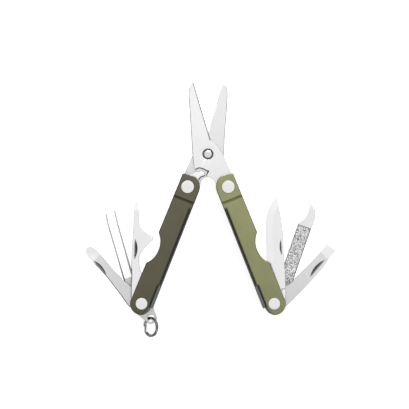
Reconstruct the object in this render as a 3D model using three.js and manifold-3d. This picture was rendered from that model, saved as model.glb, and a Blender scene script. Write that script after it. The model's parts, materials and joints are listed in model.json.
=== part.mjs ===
// A folding key-chain multi tool, lying flat and opened out: spring scissors between two channel
// handles, with three small tools fanned out of each handle and a key ring on a lanyard tab.
// Millimetres. X points right, Y towards the scissor tips and Z up from the table.
//
// Most outlines are drawn once, for the right-hand side, and mirrored for the left-hand side.
// A handle's own frame has the tang rivet at its origin, X towards its open side, and Y along the
// handle towards the scissors. A tool's own frame has the tool rivet at its origin and Y along the
// tool, so a tool is closed when its frame is parallel to the handle's.
import * as THREE from "three";
import { mergeVertices } from "three/addons/utils/BufferGeometryUtils.js";
import Module from "manifold-3d";

const wasm = await Module();
wasm.setup();

// ---- Driving dimensions -------------------------------------------------------------------------

// Heights, from the table up.
const HEAD_RISE = 0.35;
const SCALE_THICKNESS = 0.9;
const SHEET_THICKNESS = 0.6;
const CAVITY_HEIGHT = 7.9;
const FILM = 0.02;
const BACK_SCALE_Z = HEAD_RISE;
const BACK_SCALE_TOP = BACK_SCALE_Z + SCALE_THICKNESS;
const BACK_LINER_Z = BACK_SCALE_TOP;
const CAVITY_FLOOR = BACK_LINER_Z + SHEET_THICKNESS;
const CAVITY_ROOF = CAVITY_FLOOR + CAVITY_HEIGHT;
const FRONT_SCALE_Z = CAVITY_ROOF + SHEET_THICKNESS;
const FRONT_SCALE_TOP = FRONT_SCALE_Z + SCALE_THICKNESS;
const TOP = FRONT_SCALE_TOP + HEAD_RISE;

const BACK_SCALE = [BACK_SCALE_Z, BACK_SCALE_TOP];
const FRONT_SCALE = [FRONT_SCALE_Z, FRONT_SCALE_TOP];

// The layers that share the cavity, each as its lower and upper face above the cavity's floor.
const layer = (low, high) => [CAVITY_FLOOR + low, CAVITY_FLOOR + high];
const FILE_LAYER = layer(0.1, 1.3);
const TWEEZERS_PLATE_LAYER = layer(0.1, 0.9);
const TWEEZERS_ARM_LAYER = layer(0.1, 1.9);
const REAR_BLADE_LAYER = layer(2.0, 3.4);
const TAB_LAYER = layer(2.0, 3.2);
const FRONT_BLADE_LAYER = layer(3.44, 4.84);
const SPRING_LAYER = layer(3.5, 4.8);
const DRIVER_LAYER = layer(4.94, 6.24);
const FRONT_TOOL_LAYER = layer(6.34, 7.8);
const LAYER_GAP = 0.06;

// Rivets and the bores that turn on them.
const SHAFT_RADIUS = 1.5;
const RUNNING_GAP = 0.08;
const BORE_RADIUS = SHAFT_RADIUS + RUNNING_GAP;
const TANG_HEAD_RADIUS = 2.84;
const TOOL_HEAD_RADIUS = 2.6;
const HEAD_CHAMFER = 0.22;
const SPACER_RADIUS = 3.2;
const PIVOT_RADIUS = 1.7;
const PIVOT_BUSH_RADIUS = 2.28;
const PIVOT_FLANGE_RADIUS = 2.9;
const PIVOT_FLANGE_THICKNESS = 0.5;

// Plan: the scissor pivot is the origin until the whole tool is centred at the end.
const PIVOT_TO_TANG = 17;
const TANG_ANGLE = 31.73;
const HANDLE_LEAN = 21.5;
const RIVET_SPAN = 55.25;

// Handle outline, in the handle's own frame.
const NECK_RADIUS = 5.4;
const NECK_TOP = 4.75;
const OUTER_EDGE_AT_TOP = 4.2;
const OUTER_EDGE_AT_END = 4.93;
const END_RADIUS = 5.04;
const THUMB_FROM = -23.2;
const THUMB_TO = -38.0;
const THUMB_DEPTH = 2.95;
const WEB_OUTER = -5.4;
const WEB_TOP = -6.0;
const COVER_STRIP_EDGE = -4.2;
const STRIP_TOP = -8.6;
const RELIEF_TOP = -45.4;
const RELIEF_EDGE = -3.5;
const TONGUE_ROOT = -44.6;
const TONGUE_END = 0.9 - RIVET_SPAN;
const GROOVE_Y = -5.9;
const GROOVE_WIDTH = 0.9;
const GROOVE_DEPTH = 0.35;
const SLOT_WIDTH = 0.3;
const SLOT_TOP = -28;
const SLOTS_ABOVE_FLOOR = [1.75, 4.75];
const TONGUE_PLAY = 0.3;
const CLEAR = 1;

// How far each tool stands open from its closed place in the handle, in degrees.
const KNIFE_OPEN = 22;
const FILE_OPEN = 40.6;
const MEDIUM_DRIVER_OPEN = 66.7;
const OPENER_OPEN = 20.5;
const TWEEZERS_OPEN = 40.75;
const SMALL_DRIVER_OPEN = 68.5;
const TOOL_TANG_RADIUS = 4.5;
const NICK_DEPTH = 0.35;

// Lanyard tab and key ring.
const TAB_REACH = 7.75;
const TAB_OPEN = 53.6;
const TAB_ROOT_RADIUS = 4.45;
const TAB_ROOT_OFFSET = 0.65;
const TAB_TIP_RADIUS = 2.55;
const TAB_HOLE_RADIUS = 1.55;
const RING_RADIUS = 4.0;
const RING_WIRE_RADIUS = 0.48;
const RING_TILT = 46;
const RING_OFFSET = [3.95, -10.5];

const RIGHT = 1;
const LEFT = -1;
const ARC_STEP = 12;
const CURVE_STEPS = 4;
const LATHE_SEGMENTS = 32;
const WIRE_SEGMENTS = 10;
const RING_SEGMENTS = 40;

const rad = THREE.MathUtils.degToRad;
const TANG = new THREE.Vector2(
  PIVOT_TO_TANG * Math.sin(rad(TANG_ANGLE)),
  -PIVOT_TO_TANG * Math.cos(rad(TANG_ANGLE)),
);

// ---- Outlines and solids ------------------------------------------------------------------------

// A closed outline built point by point, with arcs and smooth curves stepped finely enough to look
// round.
class Outline {
  constructor(...start) {
    this.points = [];
    this.to(...start);
  }

  // Straight lines to each [x, y] in turn.
  to(...points) {
    for (const [x, y] of points) {
      this.points.push(new THREE.Vector2(x, y));
    }
    return this;
  }

  // An arc round a centre, from one angle to the other in degrees.
  around([x, y], radius, from, to) {
    const steps = Math.ceil(Math.abs(to - from) / ARC_STEP);
    for (let i = 0; i <= steps; i++) {
      const angle = rad(from + ((to - from) * i) / steps);
      this.to([x + radius * Math.cos(angle), y + radius * Math.sin(angle)]);
    }
    return this;
  }

  // An arc to [x, y] whose middle stands `rise` to the left of the straight line there.
  arc([x, y], rise) {
    const start = this.points.at(-1);
    const end = new THREE.Vector2(x, y);
    const chord = end.clone().sub(start);
    const half = chord.length() / 2;
    const radius = (half * half + rise * rise) / (2 * Math.abs(rise));
    const left = new THREE.Vector2(-chord.y, chord.x).normalize();
    const centre = start
      .clone()
      .add(end)
      .multiplyScalar(0.5)
      .addScaledVector(left, rise - Math.sign(rise) * radius);
    const turn = (-Math.sign(rise) * 2 * Math.asin(Math.min(1, half / radius)) * 180) / Math.PI;
    const first = (start.clone().sub(centre).angle() * 180) / Math.PI;
    this.points.pop();
    this.around([centre.x, centre.y], radius, first, first + turn);
    this.points.pop();
    return this.to([x, y]);
  }

  // A smooth curve through each [x, y] in turn.
  curve(...points) {
    const start = this.points.pop();
    const spline = new THREE.SplineCurve([start, ...points.map(([x, y]) => new THREE.Vector2(x, y))]);
    this.points.push(...spline.getPoints(points.length * CURVE_STEPS));
    return this;
  }

  // The closed shape with round bores. A last point on top of the first one is left out.
  shape(...bores) {
    const closed = this.points.at(-1).distanceTo(this.points[0]) < 1e-6;
    const shape = new THREE.Shape(closed ? this.points.slice(0, -1) : this.points);
    shape.holes = bores.map(([centre, radius]) => new THREE.Path(circle(centre, radius).points));
    return shape;
  }
}

function circle(centre, radius) {
  return new Outline().around(centre, radius, 0, 360 - ARC_STEP);
}

function plate(shape, [low, high]) {
  const options = { depth: high - low, bevelEnabled: false };
  return new THREE.ExtrudeGeometry(shape, options).translate(0, 0, low);
}

function box([x0, x1], [y0, y1], [z0, z1]) {
  const geometry = new THREE.BoxGeometry(x1 - x0, y1 - y0, z1 - z0);
  return geometry.translate((x0 + x1) / 2, (y0 + y1) / 2, (z0 + z1) / 2);
}

function ring(outer, inner, span) {
  return plate(circle([0, 0], outer).shape([[0, 0], inner]), span);
}

// A solid of revolution about Z from a profile of [radius, height] that starts and ends on the axis.
function turned(profile) {
  const points = profile.map(([radius, height]) => new THREE.Vector2(radius, height));
  return new THREE.LatheGeometry(points, LATHE_SEGMENTS).rotateX(Math.PI / 2);
}

// The geometry with only its positions, and with shared vertices merged.
function bare(geometry) {
  geometry.deleteAttribute("normal");
  geometry.deleteAttribute("uv");
  return mergeVertices(geometry);
}

function solid(geometry) {
  const merged = bare(geometry);
  return new wasm.Manifold(
    new wasm.Mesh({
      numProp: 3,
      vertProperties: merged.attributes.position.array,
      triVerts: new Uint32Array(merged.index.array),
    }),
  );
}

function surface(manifold) {
  const { vertProperties, triVerts } = manifold.getMesh();
  return new THREE.BufferGeometry()
    .setAttribute("position", new THREE.BufferAttribute(vertProperties, 3))
    .setIndex(new THREE.BufferAttribute(triVerts, 1));
}

function cut(geometry, ...tools) {
  return surface(tools.reduce((left, tool) => left.subtract(solid(tool)), solid(geometry)));
}

function join(geometry, ...others) {
  return surface(others.reduce((sum, other) => sum.add(solid(other)), solid(geometry)));
}

// The left-hand twin of a right-hand shape.
function mirrored(geometry) {
  const twin = bare(geometry).scale(-1, 1, 1);
  const index = twin.index.array;
  for (let i = 0; i < index.length; i += 3) {
    [index[i + 1], index[i + 2]] = [index[i + 2], index[i + 1]];
  }
  return twin;
}

// ---- Materials ----------------------------------------------------------------------------------

const finish = (color, roughness, metalness) => () =>
  new THREE.MeshStandardMaterial({ color, roughness, metalness });
const steel = finish(0xd9dadc, 0.3, 1);
const polished = finish(0xe8e8ea, 0.15, 1);
const frameSteel = finish(0x8c8d8a, 0.45, 1);
const washerSteel = finish(0xb4b4b2, 0.4, 1);
const greenPaint = finish(0x8b9263, 0.5, 0.3);
const darkPaint = finish(0x5f5c4c, 0.5, 0.3);
const chrome = finish(0xc8c8ca, 0.1, 1);

function part(group, side, name, geometry, material) {
  const finished = side === LEFT ? mirrored(geometry) : geometry;
  finished.computeVertexNormals();
  const mesh = new THREE.Mesh(finished, material);
  mesh.name = name;
  group.add(mesh);
}

// ---- Scissors -----------------------------------------------------------------------------------

// Both blades share this tang, from the side of the boss round the tang rivet to the inner arch.
function addTang(outline) {
  return outline
    .curve([4.1, 3.9], [6.0, 0.84], [8.4, -4.2], [10.1, -7.9])
    .to([12.9, -13.1])
    .around([TANG.x, TANG.y], 4.2, 18, -140)
    .to([3.55, -13.4])
    .curve([3.1, -12.1], [2.2, -11.0], [1.1, -10.3]);
}

const tangBore = [[TANG.x, TANG.y], BORE_RADIUS];
const pivotBore = [[0, 0], PIVOT_BUSH_RADIUS + RUNNING_GAP];

function frontBlade() {
  const outline = addTang(new Outline([-6.5, 32.0], [1.0, 6.7]))
    .to([-0.4, -10.1], [-0.8, -9.2], [-0.15, -7.75])
    .curve([-2.2, -6.7], [-3.9, -6.3], [-4.7, -6.6])
    .to([-5.5, -7.06], [-6.1, -6.2])
    .curve([-6.7, -1.8], [-7.15, 4.7], [-7.95, 17.7], [-8.45, 25.0], [-8.4, 28.4], [-7.7, 30.6], [-6.5, 32.0]);
  return plate(outline.shape(tangBore, pivotBore), FRONT_BLADE_LAYER);
}

// The rear blade is countersunk for the flange of the pivot rivet.
function rearBlade() {
  const outline = addTang(new Outline([-6.7, 32.1], [0.7, 6.7]))
    .to([-0.4, -10.1])
    .curve([-3.6, -8.9], [-5.9, -6.2], [-7.1, 0.6], [-7.5, 8.8], [-8.2, 17.7], [-8.75, 25.5])
    .curve([-8.65, 28.6], [-7.9, 30.8], [-6.7, 32.1]);
  const blade = plate(outline.shape(tangBore, pivotBore), REAR_BLADE_LAYER);
  const floor = REAR_BLADE_LAYER[0];
  const recess = [floor - CLEAR, floor + PIVOT_FLANGE_THICKNESS + LAYER_GAP];
  return cut(blade, plate(circle([0, 0], PIVOT_FLANGE_RADIUS + RUNNING_GAP).shape(), recess));
}

function pivotRivet() {
  const [bottom] = REAR_BLADE_LAYER;
  const [, top] = FRONT_BLADE_LAYER;
  const shoulder = bottom + PIVOT_FLANGE_THICKNESS;
  return turned([
    [0, bottom],
    [PIVOT_FLANGE_RADIUS, bottom],
    [PIVOT_FLANGE_RADIUS, shoulder],
    [PIVOT_RADIUS, shoulder],
    [PIVOT_RADIUS, top],
    [0, top],
  ]);
}

function pivotBush() {
  const bottom = REAR_BLADE_LAYER[0] + PIVOT_FLANGE_THICKNESS + LAYER_GAP;
  return ring(PIVOT_BUSH_RADIUS, PIVOT_RADIUS + RUNNING_GAP, [bottom, FRONT_BLADE_LAYER[1]]);
}

// The spring's eye sits on the tang rivet, and its finger bears on the step of the front blade.
function scissorSpring() {
  const outline = new Outline()
    .around([TANG.x, TANG.y], SPACER_RADIUS, 216, 396)
    .curve([10.6, -11.6], [9.0, -9.6], [7.3, -8.6], [6.1, -8.0], [4.8, -7.65], [3.1, -7.7])
    .curve([1.9, -8.15], [1.2, -9.0])
    .to([1.2, -9.6])
    .curve([1.9, -9.9], [2.9, -10.15], [3.6, -10.9], [4.4, -12.4], [5.2, -13.9]);
  return plate(outline.shape(tangBore), SPRING_LAYER);
}

// ---- Handles ------------------------------------------------------------------------------------

function outerEdge(y) {
  const share = (NECK_TOP - y) / (NECK_TOP + RIVET_SPAN - 1);
  return OUTER_EDGE_AT_TOP + share * (OUTER_EDGE_AT_END - OUTER_EDGE_AT_TOP);
}

// The handle seen from above, from the top of its open side round the tool rivet to the angle `end`.
function openSide(end) {
  return new Outline([OUTER_EDGE_AT_TOP, NECK_TOP], [outerEdge(THUMB_FROM), THUMB_FROM])
    .arc([outerEdge(THUMB_TO), THUMB_TO], -THUMB_DEPTH)
    .around([0, -RIVET_SPAN], END_RADIUS, 12, end);
}

// Closes the outline with its edge along the web, `strip`, and the round of its neck.
function withNeck(outline, strip) {
  return outline
    .to([strip, STRIP_TOP], [-NECK_RADIUS, STRIP_TOP + 0.4])
    .around([0, 0], NECK_RADIUS, 180, 105)
    .shape([[0, 0], BORE_RADIUS], [[0, -RIVET_SPAN], BORE_RADIUS]);
}

function linerShape() {
  const rounded = openSide(-110).arc([-4.5, -0.4 - RIVET_SPAN], 0.7);
  return withNeck(rounded.to([WEB_OUTER, -0.15 - RIVET_SPAN]), WEB_OUTER);
}

// The cover leaves a strip of the liner bare along the web, and more of it beside the tongues.
function coverShape() {
  const relieved = openSide(-110)
    .arc([RELIEF_EDGE, -RIVET_SPAN], 0.5)
    .to([RELIEF_EDGE, RELIEF_TOP], [COVER_STRIP_EDGE, RELIEF_TOP + 0.8]);
  return withNeck(relieved, COVER_STRIP_EDGE);
}

// A folded channel: two liners joined by the web, which ends in sprung tongues beside the tools.
function channel() {
  const web = [WEB_OUTER, WEB_OUTER + SHEET_THICKNESS];
  const tongueHeight = [CAVITY_FLOOR + TONGUE_PLAY, CAVITY_ROOF - TONGUE_PLAY];
  const folded = join(
    plate(linerShape(), [BACK_LINER_Z, CAVITY_FLOOR]),
    plate(linerShape(), [CAVITY_ROOF, FRONT_SCALE_Z]),
    box(web, [TONGUE_ROOT, WEB_TOP], [BACK_LINER_Z, FRONT_SCALE_Z]),
    box(web, [TONGUE_END, TONGUE_ROOT + CLEAR], tongueHeight),
  );
  const slots = SLOTS_ABOVE_FLOOR.map((height) => {
    const z = CAVITY_FLOOR + height;
    return box([web[0] - CLEAR, web[1] + CLEAR], [TONGUE_END - CLEAR, SLOT_TOP], [z, z + SLOT_WIDTH]);
  });
  return cut(folded, ...slots);
}

// A scale is a thin coloured cover with one groove across its outer face, below the neck.
function scale([bottom, top], outerFace) {
  const cover = plate(coverShape(), [bottom + FILM, top - FILM]);
  const acrossHandle = [-NECK_RADIUS - CLEAR, NECK_RADIUS + CLEAR];
  const grooveY = [GROOVE_Y - GROOVE_WIDTH / 2, GROOVE_Y + GROOVE_WIDTH / 2];
  const grooveZ = [outerFace - GROOVE_DEPTH, outerFace + GROOVE_DEPTH];
  return cut(cover, box(acrossHandle, grooveY, grooveZ));
}

function rivet(headRadius) {
  const under = HEAD_RISE - FILM;
  const rim = headRadius - HEAD_CHAMFER * 2;
  return turned([
    [0, 0],
    [rim, 0],
    [headRadius, HEAD_CHAMFER],
    [headRadius, under],
    [SHAFT_RADIUS, under],
    [SHAFT_RADIUS, TOP - under],
    [headRadius, TOP - under],
    [headRadius, TOP - HEAD_CHAMFER],
    [rim, TOP],
    [0, TOP],
  ]);
}

function spacer(low, high) {
  return ring(SPACER_RADIUS, BORE_RADIUS, [low + LAYER_GAP, high - LAYER_GAP]);
}

// ---- Tools --------------------------------------------------------------------------------------

const toolBore = [[0, 0], BORE_RADIUS];

// A tool's outline starts at the open side of its tang and ends at the web side.
function toolTang() {
  return new Outline().around([0, 0], TOOL_TANG_RADIUS, -180, 0);
}

// A nail nick: a crescent cut into the front face, flat towards the tool's back edge.
function nick([x0, y0], [x1, y1], depth, face) {
  const crescent = new Outline([x0, y0]).arc([x1, y1], depth);
  return plate(crescent.shape(), [face - NICK_DEPTH, face + CLEAR]);
}

function knife() {
  const outline = toolTang()
    .to([4.95, 2.6], [5.0, 5.7], [3.3, 5.9], [3.3, 6.5], [4.95, 6.8], [4.7, 13.5])
    .curve([4.1, 20.8], [3.75, 28.9], [3.05, 35.4], [1.8, 41.9], [0.62, 47.7])
    .curve([-1.4, 44.4], [-3.06, 41.1], [-4.1, 36.2], [-4.1, 29.7], [-3.45, 20.0], [-3.9, 8.0])
    .shape(toolBore);
  const cavity = nick([3.2, 21.2], [2.7, 28.4], 0.8, FRONT_TOOL_LAYER[1]);
  return cut(plate(outline, FRONT_TOOL_LAYER), cavity);
}

function nailFile() {
  const outline = toolTang()
    .to([4.85, 5.0], [4.85, 36.5])
    .curve([4.95, 39.2], [4.9, 41.6], [4.1, 44.1], [2.65, 45.8], [0.5, 47.0])
    .curve([1.2, 44.6], [1.25, 41.8], [0.4, 39.2], [-1.5, 36.7])
    .to([-1.5, 12.0], [-4.4, 5.0])
    .shape(toolBore);
  return plate(outline, FILE_LAYER);
}

function mediumDriver() {
  const outline = toolTang()
    .curve([4.65, 8.0], [4.4, 18.0], [4.0, 24.6], [3.1, 31.2])
    .to([2.75, 35.7], [-2.5, 34.9])
    .curve([-1.7, 30.3], [-1.4, 22.9], [-1.5, 16.0], [-1.4, 10.5], [-3.4, 5.0])
    .shape(toolBore);
  const cavity = nick([2.9, 19.4], [2.1, 29.4], 1.3, DRIVER_LAYER[1]);
  return cut(plate(outline, DRIVER_LAYER), cavity);
}

function opener() {
  const outline = toolTang()
    .to([4.9, 3.3], [4.8, 21.2])
    .curve([4.3, 34.2], [3.99, 42.3])
    .to([3.3, 45.2], [2.3, 45.2], [1.93, 41.6], [1.84, 36.7])
    .curve([0.98, 33.5], [-1.6, 31.2], [-4.65, 29.1])
    .to([-4.3, 27.8])
    .curve([-1.4, 25.0], [0.79, 22.1], [1.5, 20.2], [1.4, 17.2], [0.4, 13.8], [-2.6, 7.0])
    .shape(toolBore);
  const cavity = nick([3.5, 19.5], [3.45, 28.5], 1.25, FRONT_TOOL_LAYER[1]);
  return cut(plate(outline, FRONT_TOOL_LAYER), cavity);
}

function smallDriver() {
  const outline = toolTang()
    .to([4.85, 3.5])
    .curve([3.4, 11.3], [2.1, 19.4], [1.4, 28.1], [1.15, 31.2], [0.2, 33.6], [-1.5, 34.4])
    .curve([-2.9, 33.4], [-3.65, 30.6], [-3.1, 24.9], [-2.6, 21.2], [-2.0, 13.8], [-2.2, 8.0])
    .shape(toolBore);
  const cavity = nick([1.9, 19.5], [0.75, 28.6], 1.3, DRIVER_LAYER[1]);
  return cut(plate(outline, DRIVER_LAYER), cavity);
}

// The tweezers are a plate on the rivet with a sprung arm on each side.
const TWEEZERS_ARM_THICKNESS = 0.7;
const TWEEZERS_ROOT_Y = 9.6;
const OUTER_ARM = [
  [4.05, TWEEZERS_ROOT_Y],
  [3.9, 14.0],
  [2.69, 37.5],
  [2.05, 42.6],
];
const INNER_ARM = [
  [0.0, TWEEZERS_ROOT_Y],
  [0.0, 14.0],
  [-1.37, 36.5],
  [-2.05, 42.6],
];

function tweezersPlate() {
  const outline = toolTang()
    .to([4.3, 4.0], [3.55, 8.5], [3.4, 12.6], [0.7, 12.6], [0.6, 8.5], [-3.6, 4.0])
    .shape(toolBore);
  return plate(outline, TWEEZERS_PLATE_LAYER);
}

function tweezersArm(line) {
  const half = TWEEZERS_ARM_THICKNESS / 2;
  const outline = new Outline(...line.map(([x, y]) => [x + half, y]))
    .to(...line.toReversed().map(([x, y]) => [x - half, y]))
    .shape();
  return plate(outline, TWEEZERS_ARM_LAYER);
}

// The tab tapers from a round root, set towards the open side, to the round tip that holds the ring.
function lanyardTab() {
  const degrees = THREE.MathUtils.radToDeg;
  const root = [TAB_ROOT_OFFSET, 0];
  const tip = [0, -TAB_REACH];
  const lean = degrees(Math.atan(TAB_ROOT_OFFSET / TAB_REACH));
  const length = Math.hypot(TAB_ROOT_OFFSET, TAB_REACH);
  const flare = degrees(Math.asin((TAB_ROOT_RADIUS - TAB_TIP_RADIUS) / length));
  const outline = new Outline()
    .around(root, TAB_ROOT_RADIUS, 180 + flare - lean, -flare - lean)
    .around(tip, TAB_TIP_RADIUS, -flare - lean, flare - 180 - lean)
    .shape(toolBore, [tip, TAB_HOLE_RADIUS]);
  return plate(outline, TAB_LAYER);
}

// ---- Assembly -----------------------------------------------------------------------------------

const tool = new THREE.Group();

function frameAt(parent, x, y, degrees) {
  const frame = new THREE.Group();
  frame.position.set(x, y, 0);
  frame.rotation.z = rad(degrees);
  parent.add(frame);
  return frame;
}

// Adds one handle, with its rivets and the round spacers on them, and gives back a function that
// adds a piece to it in the frame of a tool standing `open` degrees out.
function addHandle(side, name, paint, tangSpacers, toolSpacers) {
  const handle = frameAt(tool, side * TANG.x, TANG.y, side * HANDLE_LEAN);
  const toolFrame = (open) => frameAt(handle, 0, -RIVET_SPAN, -side * open);
  part(handle, side, `${name}_frame`, channel(), frameSteel());
  part(handle, side, `${name}_scale_front`, scale(FRONT_SCALE, FRONT_SCALE_TOP), paint());
  part(handle, side, `${name}_scale_back`, scale(BACK_SCALE, BACK_SCALE_Z), paint());
  part(handle, side, `${name}_tang_rivet`, rivet(TANG_HEAD_RADIUS), polished());
  part(toolFrame(0), side, `${name}_tool_rivet`, rivet(TOOL_HEAD_RADIUS), polished());
  for (const [place, low, high] of tangSpacers) {
    part(handle, side, `${name}_tang_spacer_${place}`, spacer(low, high), washerSteel());
  }
  for (const [kind, low, high] of toolSpacers) {
    part(toolFrame(0), side, `${name}_tool_${kind}`, spacer(low, high), washerSteel());
  }
  return (open, piece, geometry) => part(toolFrame(open), side, piece, geometry, steel());
}

part(tool, RIGHT, "scissor_blade_front", frontBlade(), steel());
part(tool, LEFT, "scissor_blade_rear", rearBlade(), steel());
part(tool, RIGHT, "scissor_pivot_rivet", pivotRivet(), polished());
part(tool, RIGHT, "scissor_pivot_bush", pivotBush(), washerSteel());
part(tool, LEFT, "scissor_spring", scissorSpring(), polished());

const rightTangSpacers = [
  ["back", CAVITY_FLOOR, FRONT_BLADE_LAYER[0]],
  ["front", FRONT_BLADE_LAYER[1], CAVITY_ROOF],
];
const rightToolSpacers = [
  ["washer", FILE_LAYER[1], REAR_BLADE_LAYER[0]],
  ["spacer", REAR_BLADE_LAYER[0], DRIVER_LAYER[0]],
];
const addRightTool = addHandle(RIGHT, "right", greenPaint, rightTangSpacers, rightToolSpacers);
addRightTool(KNIFE_OPEN, "knife_blade", knife());
addRightTool(FILE_OPEN, "nail_file", nailFile());
addRightTool(MEDIUM_DRIVER_OPEN, "medium_screwdriver", mediumDriver());

const leftTangSpacers = [
  ["back", CAVITY_FLOOR, REAR_BLADE_LAYER[0]],
  ["front", FRONT_BLADE_LAYER[1], CAVITY_ROOF],
];
const leftToolSpacers = [
  ["washer", TWEEZERS_PLATE_LAYER[1], REAR_BLADE_LAYER[0]],
  ["spacer", TAB_LAYER[1], DRIVER_LAYER[0]],
];
const addLeftTool = addHandle(LEFT, "left", darkPaint, leftTangSpacers, leftToolSpacers);
addLeftTool(OPENER_OPEN, "cap_opener", opener());
addLeftTool(SMALL_DRIVER_OPEN, "small_screwdriver", smallDriver());
addLeftTool(TWEEZERS_OPEN, "tweezers_plate", tweezersPlate());
addLeftTool(TWEEZERS_OPEN, "tweezers_arm_outer", tweezersArm(OUTER_ARM));
addLeftTool(TWEEZERS_OPEN, "tweezers_arm_inner", tweezersArm(INNER_ARM));
addLeftTool(TAB_OPEN, "lanyard_tab", lanyardTab());

// The key ring hangs through the tab's hole, tilted so that its right side stands higher.
const leftToolRivet = new THREE.Vector2(-TANG.x, TANG.y - RIVET_SPAN).rotateAround(
  new THREE.Vector2(-TANG.x, TANG.y),
  -rad(HANDLE_LEAN),
);
const ringFrame = new THREE.Group();
ringFrame.position.set(
  leftToolRivet.x + RING_OFFSET[0],
  leftToolRivet.y + RING_OFFSET[1],
  (TAB_LAYER[0] + TAB_LAYER[1]) / 2,
);
ringFrame.rotation.y = -rad(RING_TILT);
tool.add(ringFrame);
const keyRing = new THREE.TorusGeometry(RING_RADIUS, RING_WIRE_RADIUS, WIRE_SEGMENTS, RING_SEGMENTS);
part(ringFrame, RIGHT, "key_ring", keyRing, chrome());

// The origin is the middle of the footprint, on the table.
const footprint = new THREE.Box3().setFromObject(tool, true);
const middle = footprint.getCenter(new THREE.Vector3());
tool.position.set(-middle.x, -middle.y, 0);
tool.updateMatrixWorld(true);

export default tool;
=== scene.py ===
"""The looks of a folding key-chain multi tool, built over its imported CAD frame.

Each flat piece takes its outline from the CAD node that it replaces. The outline is refined into
smooth curves and given rounded edges, and the plate is then ground, notched and grooved as the real
piece is. A piece is made in millimetres in its own flat frame, and only then put in its place: a
handle's origin is its tang rivet, a tool's is the tool rivet, and a scissor piece's is the scissor
pivot. Y runs along the piece towards its tip, X towards its open side, and heights are from the table.
"""

import json
import math
import random

import bmesh
import bpy
from mathutils import Matrix, Vector


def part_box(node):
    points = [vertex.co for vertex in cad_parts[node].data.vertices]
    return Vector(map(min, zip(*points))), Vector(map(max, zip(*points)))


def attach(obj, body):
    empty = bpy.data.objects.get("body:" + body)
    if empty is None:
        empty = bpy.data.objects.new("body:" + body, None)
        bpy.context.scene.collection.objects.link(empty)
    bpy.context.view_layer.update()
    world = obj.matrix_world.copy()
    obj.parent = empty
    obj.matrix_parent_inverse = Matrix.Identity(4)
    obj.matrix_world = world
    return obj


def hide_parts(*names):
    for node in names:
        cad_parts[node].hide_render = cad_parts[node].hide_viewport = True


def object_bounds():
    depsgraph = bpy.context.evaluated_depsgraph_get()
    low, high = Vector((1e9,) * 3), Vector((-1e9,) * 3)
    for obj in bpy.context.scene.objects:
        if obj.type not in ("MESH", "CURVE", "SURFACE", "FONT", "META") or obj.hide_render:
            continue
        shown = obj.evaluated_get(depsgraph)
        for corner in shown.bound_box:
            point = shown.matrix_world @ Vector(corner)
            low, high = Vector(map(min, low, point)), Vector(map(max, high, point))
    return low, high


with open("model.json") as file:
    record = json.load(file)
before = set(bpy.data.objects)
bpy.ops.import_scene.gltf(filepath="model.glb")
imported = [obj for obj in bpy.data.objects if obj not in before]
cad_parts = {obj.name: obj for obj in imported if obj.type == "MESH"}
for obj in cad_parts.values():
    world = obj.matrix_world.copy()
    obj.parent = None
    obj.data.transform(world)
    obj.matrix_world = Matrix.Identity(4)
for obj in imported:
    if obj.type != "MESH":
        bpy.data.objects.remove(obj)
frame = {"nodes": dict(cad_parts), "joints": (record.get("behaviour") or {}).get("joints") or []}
cad_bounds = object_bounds()

# ---- Driving dimensions, in millimetres ---------------------------------------------------------

MM = 0.001
RIGHT = 1
LEFT = -1

# The handle: its sheet steel channel, its covers, its rivets and its ruler. A seam is a line of painted
# shadow beside a cover, given by its left side, right side, start and end.
SHEET = 0.6
WEB_OUTER = -5.4
WEB_INNER = WEB_OUTER + SHEET
WEB_TOP = -6.0
TONGUE_ROOT = -44.6
TONGUE_END = -54.35
TONGUE_PLAY = 0.3
SLOTS_ABOVE_FLOOR = (1.75, 4.75)
SLOT_WIDTH = 0.3
SLOT_TOP = -28.0
STRIP_SEAM = (-4.78, -4.05, -44.9, -8.8)
RELIEF_SEAM = (-4.1, -3.35, -55.6, -45.0)
SEAM_DEPTH = 0.3
GROOVE_Y = -5.9
GROOVE_WIDTH = 1.15
GROOVE_DEPTH = 0.42
GROOVE_SIDE = 0.2
SEAT_PLAY = 0.16
SEAT_DEPTH = 0.14
BORE = 1.58
SHAFT = 1.5
COVER_REACH = 9
TICK_START = -10.5
TICK_PITCH = 1.0
TICK_COUNT = 34
TICK_WIDTH = 0.16
TICK_DEPTH = 0.12
TICK_REACH = 0.5
LONG_TICK_REACH = 0.75

# The scissor pivot: its rivet, the recess for the rivet's flange, and the bush, whose near-black steel
# is painted shade round the rivet.
PIVOT_RADIUS = 1.7
PIVOT_EASE = 0.15
FLANGE_RADIUS = 2.9
FLANGE_THICKNESS = 0.5
FLANGE_RECESS_RADIUS = 2.98
FLANGE_RECESS_DEPTH = 0.56
BUSH_RADIUS = 2.28
BUSH_BORE = 1.78
BUSH_SUNK = 0.45

# Bevels along an edge: how far each reaches into the face, and how deep it goes at the edge. The cutter
# of a bevel that follows a tight curve stands only a little clear of the solid, so it can't fold over.
# The knife is ground from both faces, to that height either side of its middle.
CUTTING_WIDTH = 0.45
CUTTING_DEPTH = 0.42
# The shade bevels are narrow facets in near-black steel: painted shade.
SHADE_WIDTH = 0.42
SHADE_DEPTH = 0.45
TIGHT_CLEAR = 0.25
KNIFE_GRIND = 3.0
KNIFE_EDGE = 0.08

# Spots on an outline, in its piece's own frame. Painted shade lines run along the step's stretches and
# the spring's stretch.
STEP_STRETCHES = (
    ((-4.7, -6.6), (-0.15, -7.75)),
    ((-5.5, -7.06), (-4.7, -6.6)),
    ((-0.15, -7.75), (-0.8, -9.2)),
)
SPRING_STRETCH = ((1.2, -9.6), (3.6, -10.9))
KNIFE_POINT = (0.62, 47.7)
KNIFE_HEEL = (-3.9, 8.0)

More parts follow.
